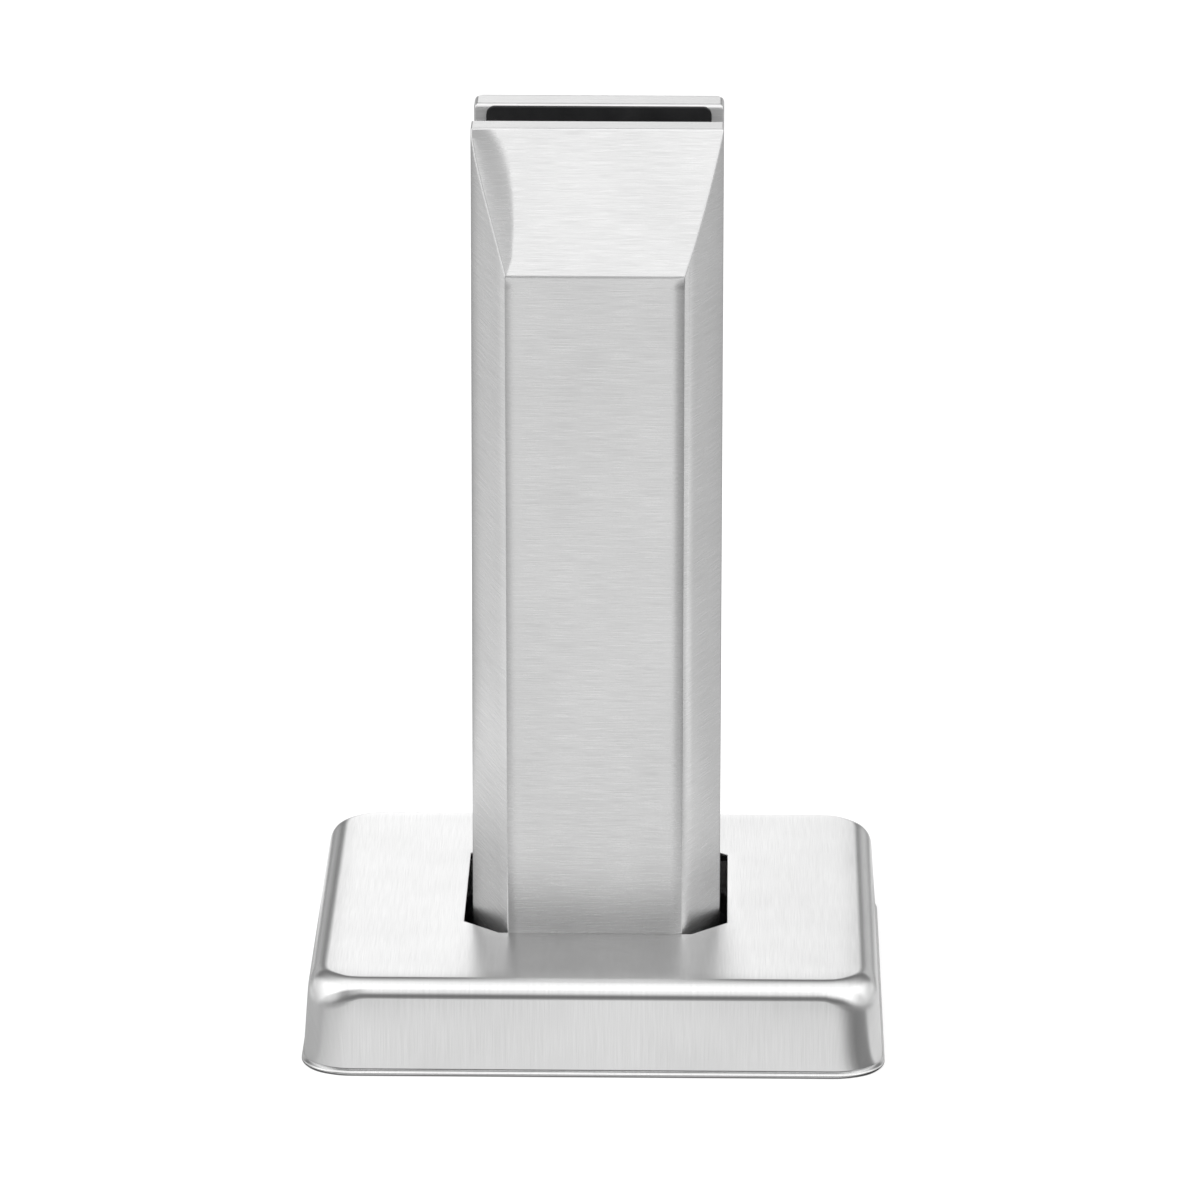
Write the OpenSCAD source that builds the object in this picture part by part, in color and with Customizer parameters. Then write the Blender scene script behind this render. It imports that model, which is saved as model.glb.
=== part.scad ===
// Deck-mounted friction clamp for frameless glass panels, with its pressed dress cover.
// Origin: middle of the base, on the deck. The outer face of the clamp looks along -Y.

/* [Column] */
// Width of the column
column_w = 50; // [46:0.5:54]
// Depth of the column, front to back
column_d = 58; // [56:0.5:60]
// Height of the jaws above the deck
column_h = 181.5; // [170:0.5:200]
// Distance of the column's middle behind the middle of the base
column_y = 3.5; // [0:0.5:5]
// Width of the corner facets, seen from the front
facet_w = 7.5; // [7:0.5:10]
// Depth of the corner facets, and run of the front slope
facet_d = 14.75; // [10:0.25:15]
// Run of the rear slope
rear_run = 13.25; // [10:0.25:14]
// Height at which the front and rear faces begin to slope
bevel_z = 155; // [150:1:160]

/* [Glass slot] */
// Clear width of the slot between the bare jaws
slot_w = 15; // [13:0.25:16]
// Depth of the slot below the jaws' tops
slot_depth = 95; // [85:1:100]
// Distance of the slot's middle from the column's middle
slot_y = -0.25; // [-1:0.25:1]
// Radius along the bottom corners of the slot
slot_r = 2; // [1:0.5:3]

/* [Base plate] */
// Side of the square base plate
plate_w = 100; // [90:1:104]
// Thickness of the base plate
plate_t = 10; // [8:0.5:11]
// Corner radius of the base plate
plate_r = 8; // [4:1:12]
// Spacing of the four fixing holes, both ways
bolt_spacing = 76; // [72:1:80]
// Diameter of the fixing holes, for M10 bolts
bolt_hole_d = 11; // [9:0.5:12]
// Height and reach of the cast flare at the column's foot
foot_flare = 4; // [2:0.5:5]

/* [Core] */
// Wall left round the cast core in the column's lower part
core_wall = 7; // [6:0.5:9]
// Metal left between the core and the slot
core_roof = 11; // [8:0.5:14]

/* [Dress cover] */
// Width of the cover over its bottom lip
cover_w = 116; // [114:0.5:120]
// Height of the cover's flat top above the deck
cover_h = 19.25; // [18:0.25:21]
// Thickness of the pressed sheet
sheet_t = 0.8; // [0.7:0.1:1.2]
// Plan radius at the corners of the flat top
cover_flat_r = 5; // [3:0.5:8]
// Outer radius of the bend between the top and the walls
cover_bend_r = 4; // [3:0.25:5]
// Outward slope of the walls, in degrees
cover_slope = 4; // [2:0.5:6]
// Height of the rounded lip along the bottom edge
lip_h = 1.4; // [1.2:0.1:1.8]
// Reach of the lip beyond the wall
lip_out = 0.3; // [0.2:0.05:0.6]
// Gap between the opening and the column's sides
side_gap = 1.5; // [0.5:0.1:3]
// Gap between the opening and the column's front and rear
face_gap = 0.2; // [0.2:0.1:1]
// Cut across each corner of the opening
hole_cut = 7.2; // [4:0.1:7.4]

/* [Pads] */
// Width of the rubber pads
pad_w = 45; // [40:0.5:48]
// Thickness of the rubber pads
pad_t = 1.2; // [0.8:0.1:1.4]
// Corner radius of the rubber pads
pad_r = 1.7; // [1:0.1:3]
// Distance of the pads below the jaws' tops
pad_inset = 0.3; // [0.2:0.1:1]
// Height of the block under the glass edge
block_h = 4; // [3:0.5:6]
// Thickness of the block, across the slot
block_d = 12; // [10:0.5:12]

/* [Clamping parts] */
// Width of the pressure plate
press_w = 38; // [30:1:40]
// Height of the pressure plate
press_h = 61; // [56:1:62]
// Thickness of the pressure plate
press_t = 3; // [2:0.5:4]
// Height of the lower screw above the deck
lower_screw_z = 111; // [110:1:114]
// Height of the upper screw above the deck
upper_screw_z = 144; // [140:1:146]
// Nominal diameter of the grub screws
screw_d = 10; // [8:1:12]
// Length of the grub screws
screw_l = 16; // [12:1:17]
// Width across the flats of the hexagon socket
socket_af = 5; // [4:0.5:6]
// Depth of the hexagon socket
socket_depth = 5.5; // [3:0.5:7]

/* [Hidden] */
$fn = 64;

steel = "silver";
rubber = "dimgray";
cut = 1;                                     // how far a cutting shape runs past a face
play = 0.2;                                  // gap behind the rear pad when the screws are backed off
seat_gap = 0.5;                              // gap round the pressure plate in its recess
thread_gap = 0.05;                           // radial gap between a screw and its hole
screw_edge = 0.8;                            // chamfer at each end of a screw
bend_steps = 8;                              // flats along the cover's bend
lip_steps = 16;                              // flats round the cover's lip

half_w = column_w / 2;
half_d = column_d / 2;
slot_front = slot_y - slot_w / 2;
slot_rear = slot_y + slot_w / 2;
slot_floor = column_h - slot_depth;
pad_bottom = slot_floor + block_h + 1;
pad_top = column_h - pad_inset;
press_mid_z = (lower_screw_z + upper_screw_z) / 2;
press_back = slot_rear + press_t - play;     // rear face of the pressure plate, where the screws bear
cover_corner = cover_w / 2 - wall_x(0) - lip_out;  // distance of a corner's centre from the middle

// Outline of the column: a rectangle with a long facet across each corner
module column_outline(grow = 0) {
    side = half_w + grow;
    face = half_d + grow;
    flat_x = half_w - facet_w + grow / 2;
    flat_y = half_d - facet_d + grow / 2;
    polygon([[-flat_x, -face], [flat_x, -face], [side, -flat_y], [side, flat_y],
             [flat_x, face], [-flat_x, face], [-side, flat_y], [-side, -flat_y]]);
}

// Side view of the column: upright faces that slope inwards above bevel_z
module column_side() {
    polygon([[-half_d, 0], [half_d, 0], [half_d, bevel_z], [half_d - rear_run, column_h],
             [facet_d - half_d, column_h], [-half_d, bevel_z]]);
}

module rounded_rectangle(w, d, r) {
    square([w - 2 * r, d], center = true);
    square([w, d - 2 * r], center = true);
    for (sx = [-1, 1], sy = [-1, 1])
        translate([sx * (w / 2 - r), sy * (d / 2 - r)]) circle(r);
}

// A side view (y, z) drawn out to a length along X, centred
module along_x(length) {
    rotate([90, 0, 90]) linear_extrude(length, center = true) children();
}

// A front view (x, z) drawn out backwards from y = 0
module towards_rear(depth) {
    translate([0, depth, 0]) rotate([90, 0, 0]) linear_extrude(depth) children();
}

// The column with its sloping top faces, and the cast flare at its foot
module column_block() {
    intersection() {
        linear_extrude(column_h) column_outline();
        along_x(column_w + 2 * cut) column_side();
    }
    hull() {
        linear_extrude(plate_t) column_outline(foot_flare);
        linear_extrude(plate_t + foot_flare) column_outline();
    }
}

// Side view of the slot, with its bottom corners rounded
module slot_side() {
    translate([slot_front, slot_floor + slot_r]) square([slot_w, slot_depth]);
    translate([slot_front + slot_r, slot_floor]) square([slot_w - 2 * slot_r, slot_depth]);
    for (y = [slot_front + slot_r, slot_rear - slot_r])
        translate([y, slot_floor + slot_r]) circle(slot_r);
}

// Recess in the rear jaw that takes the pressure plate when the screws are backed off
module press_recess() {
    translate([0, slot_rear - cut, press_mid_z])
        towards_rear(press_t - play + cut)
            rounded_rectangle(press_w + 2 * seat_gap, press_h + 2 * seat_gap, pad_r + seat_gap);
}

module screw_holes() {
    for (z = [lower_screw_z, upper_screw_z])
        translate([0, slot_rear, z]) rotate([-90, 0, 0])
            cylinder(h = half_d - slot_rear + cut, d = screw_d + 2 * thread_gap);
}

// The core's space inside the lower column, open below
module core() {
    translate([0, 0, -cut]) linear_extrude(slot_floor - core_roof + cut)
        rounded_rectangle(column_w - 2 * core_wall, column_d - 2 * core_wall, core_wall);
}

module base_plate() {
    linear_extrude(plate_t) rounded_rectangle(plate_w, plate_w, plate_r);
}

module bolt_holes() {
    for (sx = [-1, 1], sy = [-1, 1])
        translate([sx * bolt_spacing / 2, sy * bolt_spacing / 2, -cut])
            cylinder(h = plate_t + 2 * cut, d = bolt_hole_d);
}

// One casting: base plate, column and the two jaws
module spigot_body() {
    color(steel) difference() {
        union() {
            base_plate();
            translate([0, column_y, 0]) column_block();
        }
        bolt_holes();
        translate([0, column_y, 0]) {
            along_x(column_w + 2 * cut) slot_side();
            press_recess();
            screw_holes();
            core();
        }
    }
}

// Height at which the bend runs out into the sloping wall
function bend_end_z() = cover_h - cover_bend_r * (1 - sin(cover_slope));

// Distance of the wall's outer face from a corner's centre, at height z
function wall_x(z) = cover_flat_r + cover_bend_r * cos(cover_slope) + (bend_end_z() - z) * tan(cover_slope);

// Solid section from a corner's centre out to the cover's face, set in by a thickness
module rim_section(inset, bottom) {
    r = cover_bend_r - inset;
    polygon(concat(
        [[0, bottom], [wall_x(bottom) - inset / cos(cover_slope), bottom]],
        [for (i = [bend_steps : -1 : 0]) let (a = i / bend_steps * (90 - cover_slope))
            [cover_flat_r + r * sin(a), cover_h - cover_bend_r + r * cos(a)]],
        [[0, cover_h - inset]]));
}

// A section turned about each of the cover's corner centres, with the space between them filled
module cover_form() {
    hull()
        for (sx = [-1, 1], sy = [-1, 1])
            translate([sx * cover_corner, sy * cover_corner, 0]) rotate_extrude() children();
}

// Rounded lip along the bottom edge
module lip_section() {
    translate([wall_x(0) + lip_out - lip_h / 2, lip_h / 2]) circle(lip_h / 2, $fn = lip_steps);
}

// Opening for the column: a rectangle with its corners cut across
module cover_opening() {
    x = half_w + side_gap;
    y = half_d + face_gap;
    polygon([[hole_cut - x, -y], [x - hole_cut, -y], [x, hole_cut - y], [x, y - hole_cut],
             [x - hole_cut, y], [hole_cut - x, y], [-x, y - hole_cut], [-x, hole_cut - y]]);
}

// One pressed sheet, open below
module dress_cover() {
    color(steel) difference() {
        union() {
            cover_form() rim_section(0, 0);
            cover_form() lip_section();
        }
        cover_form() rim_section(sheet_t, -cut);
        translate([0, column_y, 0]) linear_extrude(cover_h + cut) cover_opening();
    }
}

// A flat rubber pad standing with its front face at y = 0
module pad() {
    translate([0, 0, (pad_bottom + pad_top) / 2])
        towards_rear(pad_t) rounded_rectangle(pad_w, pad_top - pad_bottom, pad_r);
}

module front_pad() {
    color(rubber) translate([0, column_y + slot_front, 0]) pad();
}

module rear_pad() {
    color(rubber) translate([0, column_y + slot_rear - play - pad_t, 0]) pad();
}

module pressure_plate() {
    color(steel) translate([0, column_y + slot_rear - play, press_mid_z])
        towards_rear(press_t) rounded_rectangle(press_w, press_h, pad_r);
}

// Block that keeps the glass edge off the metal
module setting_block() {
    color(rubber) translate([0, column_y + slot_y, slot_floor]) linear_extrude(block_h)
        square([pad_w, block_d - slot_r], center = true);
}

// Section of a grub screw: a plain shank chamfered at both ends
module grub_screw() {
    r = screw_d / 2;
    difference() {
        rotate_extrude() polygon([[0, 0], [r - screw_edge, 0], [r, screw_edge], [r, screw_l - screw_edge],
                                  [r - screw_edge, screw_l], [0, screw_l]]);
        translate([0, 0, screw_l - socket_depth])
            cylinder(h = socket_depth + cut, d = socket_af / cos(30), $fn = 6);
    }
}

module seated_screw(z) {
    color(steel) translate([0, column_y + press_back, z]) rotate([-90, 0, 0]) grub_screw();
}

module upper_grub_screw() {
    seated_screw(upper_screw_z);
}

module lower_grub_screw() {
    seated_screw(lower_screw_z);
}

spigot_body();
dress_cover();
front_pad();
rear_pad();
pressure_plate();
setting_block();
upper_grub_screw();
lower_grub_screw();
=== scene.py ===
"""Glass panel clamp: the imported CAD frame, dressed with its finishes, edges and threads.

Lengths are in millimetres and angles in degrees unless a comment says otherwise; MM turns millimetres into
metres. The clamp stands on z = 0 and its outer face looks along -Y.
"""
import math

import bmesh
import bpy
from mathutils import Matrix, Vector


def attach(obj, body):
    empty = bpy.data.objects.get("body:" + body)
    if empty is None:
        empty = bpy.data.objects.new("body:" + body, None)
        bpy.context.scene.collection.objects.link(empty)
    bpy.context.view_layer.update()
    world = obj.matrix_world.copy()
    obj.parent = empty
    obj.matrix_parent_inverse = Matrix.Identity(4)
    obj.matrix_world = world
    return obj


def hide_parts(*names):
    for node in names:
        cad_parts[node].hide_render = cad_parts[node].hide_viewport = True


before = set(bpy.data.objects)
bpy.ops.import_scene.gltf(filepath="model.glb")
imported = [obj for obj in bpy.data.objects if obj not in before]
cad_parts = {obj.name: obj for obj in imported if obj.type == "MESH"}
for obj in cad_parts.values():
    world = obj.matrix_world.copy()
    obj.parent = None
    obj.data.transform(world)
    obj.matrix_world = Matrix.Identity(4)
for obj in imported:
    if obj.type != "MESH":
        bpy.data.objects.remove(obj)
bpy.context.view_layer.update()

MM = 0.001
GRAIN_UV = "grain"

# Camera: how far round from the front, up and rolled, the point it looks at, and its distance from it
VIEW_AZIMUTH = 0.91
VIEW_ELEVATION = 16.35
VIEW_ROLL = 0.08
VIEW_TARGET = (0.45, 3.5, 80.48)
VIEW_DISTANCE = 1669.7
# How far it sees, in metres
VIEW_END = 20
LENS = 247.75
SENSOR = 36.0

# Column: its middle, its half width and half depth, and how far its corner facets run in from the sides.
# The facets and the slopes run in from the front and the rear by the same lengths.
COLUMN_Y = 3.5
HALF_W = 25.0
HALF_D = 29.0
FACET_W = 7.5
FRONT_RUN = 14.75
REAR_RUN = 13.25
BEVEL_Z = 155.0
COLUMN_H = 181.5
SLOT_Y = 3.25
SLOT_W = 15.0
SLOT_BOTTOM = 86.0
REAR_JAW_Y = 7.25

# Dress cover: its height, the corner centres' distance from the middle, the flat's reach beyond them,
# and the radius of the bend along its sides
COVER_H = 19.25
COVER_CORNER = 47.62
COVER_FLAT_R = 5.0
COVER_BEND_R = 4.0


# ---------------------------------------------------------------- camera


def look_from(azimuth, elevation, roll):
    """Right, up and backward directions of a camera looking at the object from the given angles."""
    a = math.radians(azimuth)
    e = math.radians(elevation)
    r = math.radians(roll)
    back = Vector((math.sin(a) * math.cos(e), -math.cos(a) * math.cos(e), math.sin(e)))
    level_right = Vector((math.cos(a), math.sin(a), 0))
    level_up = back.cross(level_right)
    right = level_right * math.cos(r) + level_up * math.sin(r)
    return right, back.cross(right), back


def make_camera():
    right, up, back = look_from(VIEW_AZIMUTH, VIEW_ELEVATION, VIEW_ROLL)
    data = bpy.data.cameras.new("camera")
    data.lens = LENS
    data.sensor_width = SENSOR
    data.clip_end = VIEW_END
    camera = bpy.data.objects.new("camera", data)
    place = (Vector(VIEW_TARGET) + back * VIEW_DISTANCE) * MM
    camera.matrix_world = Matrix.Translation(place) @ Matrix((right, up, back)).transposed().to_4x4()
    bpy.context.scene.collection.objects.link(camera)
    bpy.context.scene.camera = camera


# ---------------------------------------------------------------- node helpers


def node(tree, kind, inputs=None, **settings):
    """A new node; inputs holds values or the sockets to link from."""
    made = tree.nodes.new(kind)
    for name, value in settings.items():
        setattr(made, name, value)
    for name, value in (inputs or {}).items():
        if isinstance(value, bpy.types.NodeSocket):
            tree.links.new(value, made.inputs[name])
        else:
            made.inputs[name].default_value = value
    return made


def maths(tree, operation, a, b=0.0):
    return node(tree, "ShaderNodeMath", {0: a, 1: b}, operation=operation).outputs[0]


def spread(tree, value, low, high, to_low, to_high, smooth=False):
    """Maps low..high onto to_low..to_high."""
    inputs = {"Value": value, "From Min": low, "From Max": high, "To Min": to_low, "To Max": to_high}
    kind = "SMOOTHSTEP" if smooth else "LINEAR"
    return node(tree, "ShaderNodeMapRange", inputs, interpolation_type=kind).outputs[0]


def grey(value):
    return (value, value, value, 1)


def new_material(name):
    made = bpy.data.materials.new(name)
    made.use_nodes = True
    made.node_tree.nodes.clear()
    return made, made.node_tree


def finish_material(tree, shader):
    output = node(tree, "ShaderNodeOutputMaterial")
    tree.links.new(shader, output.inputs["Surface"])


# ---------------------------------------------------------------- finishes

# Where most of a noise texture's values lie
NOISE_RANGE = (0.3, 0.7)
STREAK_ROUGHNESS = 0.6
# Brushed steel: what the fine streaks have of the grain, how much more the grain darkens than it lightens,
# the cloudy unevenness of hand polishing, and how strongly the grain stretches reflections
FINE_SHARE = 0.78
DARK_STREAKS = 1.3
CLOUD_SIZE = 16.0
CLOUD_RANGE = (0.975, 1.02)
ANISOTROPY = 0.85
# The two brushed finishes: how much the grain varies the roughness and the tone, the (width, length) of its
# fine and broad streaks, and the depth of its marks
CASTING_BRUSH = {
    "colour": (0.8, 0.8, 0.8),
    "roughness": 0.28,
    "vary": 0.012,
    "contrast": 0.085,
    "fine": (0.11, 6.0),
    "broad": (0.6, 20.0),
    "relief": 0.005,
}
SHEET_BRUSH = {
    "colour": (0.785, 0.785, 0.785),
    "roughness": 0.22,
    "vary": 0.004,
    "contrast": 0.045,
    "fine": (0.15, 9.0),
    "broad": (0.8, 30.0),
    "relief": 0.001,
}
# Roughness of the faces left as cast, and how far beyond the slot's walls they reach
CAST_ROUGHNESS = 0.62
CAST_MARGIN = 0.05
# Machined steel and rubber
MACHINED_DARK = 0.46
MACHINED_PALE = 0.62
MACHINED_ROUGHNESS = (0.24, 0.42)
RUBBER_COLOUR = (0.012, 0.012, 0.013, 1)
DUST_COLOUR = (0.03, 0.03, 0.031, 1)
DUST_RANGE = (0.35, 0.75)
RUBBER_ROUGHNESS = (0.5, 0.68)


def streaks(tree, across, along, detail, offset=0.0):
    """Noise drawn out along the grain: streaks about this wide and long, from 0 to 1."""
    grain = node(tree, "ShaderNodeUVMap", uv_map=GRAIN_UV).outputs["UV"]
    place = {"Vector": grain, "Scale": (1 / across, 1 / along, 1), "Location": (offset, offset, 0)}
    stretched = node(tree, "ShaderNodeMapping", place).outputs["Vector"]
    noise = {"Vector": stretched, "Scale": 1.0, "Detail": detail, "Roughness": STREAK_ROUGHNESS}
    return node(tree, "ShaderNodeTexNoise", noise, noise_dimensions="2D").outputs[0]


def clouds(tree, size, detail=1.0):
    """Soft even noise with patches about this size, from 0 to 1."""
    place = node(tree, "ShaderNodeTexCoord").outputs["Object"]
    noise = {"Vector": place, "Scale": 1 / (size * MM), "Detail": detail}
    return node(tree, "ShaderNodeTexNoise", noise).outputs[0]


def in_slot(tree):
    """1 on the slot's own faces, which are left as cast, and 0 elsewhere."""
    point = node(tree, "ShaderNodeTexCoord").outputs["Object"]
    place = node(tree, "ShaderNodeSeparateXYZ", {"Vector": point})
    between = maths(tree, "COMPARE", place.outputs["Y"], SLOT_Y * MM)
    between.node.inputs[2].default_value = (SLOT_W / 2 + CAST_MARGIN) * MM
    above = maths(tree, "GREATER_THAN", place.outputs["Z"], SLOT_BOTTOM * MM)
    return maths(tree, "MULTIPLY", between, above)


def brushed_steel(name, colour, roughness, vary, contrast, fine, broad, relief, as_cast=None):
    """Satin brushed stainless steel. as_cast makes a mask of the faces that weren't brushed."""
    made, tree = new_material(name)
    fine_grain = streaks(tree, fine[0], fine[1], detail=3.0)
    broad_grain = streaks(tree, broad[0], broad[1], detail=2.0, offset=31.0)
    patches = clouds(tree, CLOUD_SIZE)
    fine_part = maths(tree, "MULTIPLY", fine_grain, FINE_SHARE)
    broad_part = maths(tree, "MULTIPLY", broad_grain, 1 - FINE_SHARE)
    mixed = maths(tree, "ADD", fine_part, broad_part)
    tint = spread(tree, mixed, *NOISE_RANGE, 1 - contrast * DARK_STREAKS, 1 + contrast)
    hand = spread(tree, patches, *NOISE_RANGE, *CLOUD_RANGE)
    shade = maths(tree, "MULTIPLY", tint, hand)
    colour_node = node(tree, "ShaderNodeVectorMath", {0: colour, 1: shade}, operation="MULTIPLY")
    rough = spread(tree, mixed, *NOISE_RANGE, roughness + vary, roughness - vary)
    if as_cast:
        rough = maths(tree, "MAXIMUM", rough, maths(tree, "MULTIPLY", as_cast(tree), CAST_ROUGHNESS))
    bump = node(tree, "ShaderNodeBump", {"Height": mixed, "Strength": 1.0, "Distance": relief * MM})
    tangent = node(tree, "ShaderNodeTangent", direction_type="UV_MAP", uv_map=GRAIN_UV)
    shader = node(tree, "ShaderNodeBsdfPrincipled", {
        "Base Color": colour_node.outputs[0],
        "Metallic": 1.0,
        "Roughness": rough,
        "Anisotropic": ANISOTROPY,
        "Normal": bump.outputs["Normal"],
        "Tangent": tangent.outputs["Tangent"],
    })
    finish_material(tree, shader.outputs["BSDF"])
    return made


def machined_steel(name):
    """Plain turned steel of the screws and the pressure plate."""
    made, tree = new_material(name)
    marks = clouds(tree, size=0.7, detail=3.0)
    stain = clouds(tree, size=6.0, detail=2.0)
    greys = {"Factor": stain, "A": grey(MACHINED_DARK), "B": grey(MACHINED_PALE)}
    colour = node(tree, "ShaderNodeMix", greys, data_type="RGBA")
    rough = spread(tree, marks, *NOISE_RANGE, *MACHINED_ROUGHNESS)
    bump = node(tree, "ShaderNodeBump", {"Height": marks, "Strength": 0.4, "Distance": 0.01 * MM})
    shader = node(tree, "ShaderNodeBsdfPrincipled", {
        "Base Color": colour.outputs["Result"],
        "Metallic": 1.0,
        "Roughness": rough,
        "Normal": bump.outputs["Normal"],
    })
    finish_material(tree, shader.outputs["BSDF"])
    return made


def black_rubber(name):
    """Matt moulded rubber with a fine grain and a little dust."""
    made, tree = new_material(name)
    grain = clouds(tree, size=0.25, detail=2.0)
    wear = clouds(tree, size=9.0, detail=3.0)
    dust = spread(tree, wear, *DUST_RANGE, 0.0, 1.0)
    colours = {"Factor": dust, "A": RUBBER_COLOUR, "B": DUST_COLOUR}
    colour = node(tree, "ShaderNodeMix", colours, data_type="RGBA")
    rough = spread(tree, grain, *NOISE_RANGE, *RUBBER_ROUGHNESS)
    bump = node(tree, "ShaderNodeBump", {"Height": grain, "Strength": 0.5, "Distance": 0.03 * MM})
    shader = node(tree, "ShaderNodeBsdfPrincipled", {
        "Base Color": colour.outputs["Result"],
        "Roughness": rough,
        "Normal": bump.outputs["Normal"],
        "Specular IOR Level": 0.4,
    })
    finish_material(tree, shader.outputs["BSDF"])
    return made


# ---------------------------------------------------------------- grain direction

# How far the brush marks slant on the front's corner facets, at the left and the right
LEFT_SLANT = 14
RIGHT_SLANT = -3
# Parts of a face's direction beyond which it is a side face, a corner facet, and one of the front's
SIDE_FACE = 0.95
CORNER_FACET = 0.6
FRONTWARD = -0.2
# What shifts the grain from face to face: (steps, length of a step) for each part of a face's direction
GRAIN_SHIFTS = ((7, 13.7), (5, 29.3), (3, 47.1))


def grain_direction(normal):
    """Direction of the brush marks on a face: level, and slanting on the front's corner facets."""
    if abs(normal.x) > SIDE_FACE:
        return Vector((0, 1, 0))
    slant = 0.0
    if abs(normal.x) > CORNER_FACET and normal.y < FRONTWARD:
        slant = math.radians(LEFT_SLANT if normal.x < 0 else RIGHT_SLANT)
    level = (Vector((1, 0, 0)) - normal * normal.x).normalized()
    return level * math.cos(slant) - normal.cross(level) * math.sin(slant)


def lay_grain(mesh):
    """Fills the grain UVs in millimetres: u runs across the brush marks and v along them."""
    layer = mesh.uv_layers.get(GRAIN_UV) or mesh.uv_layers.new(name=GRAIN_UV)
    for face in mesh.polygons:
        normal = face.normal.copy()
        along = grain_direction(normal)
        along = (along - normal * along.dot(normal)).normalized()
        across = normal.cross(along)
        shift = sum(round(part * steps) * length for part, (steps, length) in zip(normal, GRAIN_SHIFTS))
        for loop in face.loop_indices:
            point = mesh.vertices[mesh.loops[loop].vertex_index].co / MM
            layer.data[loop].uv = (point.dot(across) + shift, point.dot(along) + shift)


# ---------------------------------------------------------------- pieces made from the frame

# Edges that turn by more than this are rounded
SHARP_ANGLE = 20.0
# Widths of the roundings: the casting's plain edges, its front's upright edges, the rear jaw's top edges
# and its inner upright edges, and the edges of the rubber pieces and of the pressure plate
EDGE_ROUND = 0.35
FRONT_EDGE_ROUND = 0.16
JAW_ROUND = 0.9
JAW_END_ROUND = 1.5
RUBBER_ROUND = 0.2
PLATE_ROUND = 0.3
EDGE_SEGMENTS = 5
# Material number that marks the roundings until they are shaded, and what their own directions count there
ROUNDING = 1
ROUNDING_SHARE = 0.001
# How much more an upright edge rises than it runs back, how near the front's upright edges lie to its
# face, and how far above the slot's bottom the rear jaw's inner edges are rounded
UPRIGHT_BY = 0.5
FRONT_BAND = 1.5
JAW_ROUND_START = 2
# Tolerances: for a corner's place, for a point on a face, for a point on a cut, and for a share of a height
NEAR = 0.1
ON_FACE = 0.02
ON_CUT = 0.01
ON_SHARE = 0.001
# Corners closer than this, in metres, are one, and faces that differ by less than this angle are one
SAME_POINT = 1e-7
SAME_FACE = 0.5


def edge_width(a, b):
    """Width of an edge's rounding where it differs from the plain one, or None."""
    ends = [p / MM - Vector((0, COLUMN_Y, 0)) for p in (a, b)]
    upright = abs(ends[0].z - ends[1].z) > abs(ends[0].y - ends[1].y) + UPRIGHT_BY
    if upright and all(p.y < -HALF_D + FRONT_BAND for p in ends):
        return FRONT_EDGE_ROUND
    inner = all(abs(p.y - REAR_JAW_Y) < NEAR and p.z > SLOT_BOTTOM + JAW_ROUND_START for p in ends)
    if inner and upright and all(abs(p.x) > HALF_W - NEAR for p in ends):
        return JAW_END_ROUND
    if min(p.y for p in ends) > REAR_JAW_Y - NEAR and max(p.z for p in ends) > COLUMN_H - NEAR:
        return JAW_ROUND
    return None


def weigh_edges(bm, edge_round):
    """Marks the edges that the bevel rounds, each with its share of the full width."""
    layer = bm.edges.layers.float.get("bevel_weight_edge") or bm.edges.layers.float.new("bevel_weight_edge")
    for edge in bm.edges:
        if not edge.is_manifold or edge.calc_face_angle(0) < math.radians(SHARP_ANGLE):
            continue
        width = edge_width(edge.verts[0].co, edge.verts[1].co) or edge_round
        edge[layer] = width / JAW_END_ROUND


def cut_faces(bm, faces, point, across):
    """Cuts some faces by a plane through a point in millimetres and returns them with their new parts."""
    geometry = set(faces)
    for face in faces:
        geometry.update(face.edges)
        geometry.update(face.verts)
    place = Vector(point) * MM
    cut = bmesh.ops.bisect_plane(bm, geom=list(geometry), dist=ON_FACE * MM, plane_co=place, plane_no=across)
    return [item for item in cut["geom"] if isinstance(item, bmesh.types.BMFace)]


# How the front face rolls back beside its upright edges: (width, angle at the edge) at its left and right,
# the strips it is divided into, and the height over which the roll fades out under the slope
FRONT_ROLL = {-1: (2.1, 23.0), 1: (2.9, 35.0)}
ROLL_STRIPS = 5
ROLL_FADE = 3.0
FADE_STRIPS = 3
# How far outside its nominal place the front's left edge lies, below and at the start of the slope
EDGE_SHIFT = (0.75, 0.4)
SHIFT_Z = (125.0, 155.0)
# Bulge of the long corner facets at the right, and how far those at the left stand out before they roll off
# towards the side faces, with how late they do so. They are divided at these shares of their width.
FACET_BULGE = 0.45
FACET_ROLL = 0.9
ROLL_OFF = 8
FACET_CUTS = (0.12, 0.25, 0.38, 0.5, 0.62, 0.74, 0.84, 0.92, 0.97)
# Worn patch at the left of the front slope: its right edge as (share of the slope's height, x), the angle
# by which it is worn down, the width over which the wear sets in at its foot and top, and how far left of
# the edge the slope is divided
PATCH_EDGE = (
    (0.0, -16.9), (0.12, -16.3), (0.35, -16.0), (0.55, -16.2), (0.7, -16.7), (0.83, -17.5),
    (0.93, -18.7), (1.0, -20.2),
)
PATCH_TILT = 4.8
PATCH_SOFT = (0.4, 3.0)
PATCH_STRIPS = (0.0, 0.4, 1.0, 1.8, 2.8, 4.0, 5.4)


def cut_front(bm):
    """Divides the front face beside its upright edges, so that it can roll back there."""
    front = [f for f in bm.faces if f.normal.y < -0.99]
    for side, (width, _) in FRONT_ROLL.items():
        for k in range(1, ROLL_STRIPS + 1):
            x = side * (HALF_W - FACET_W - width * k / ROLL_STRIPS)
            front = cut_faces(bm, front, (x, 0, 0), Vector((1, 0, 0)))
    for k in range(1, FADE_STRIPS + 1):
        front = cut_faces(bm, front, (0, 0, BEVEL_Z - ROLL_FADE * k / FADE_STRIPS), Vector((0, 0, 1)))


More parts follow.
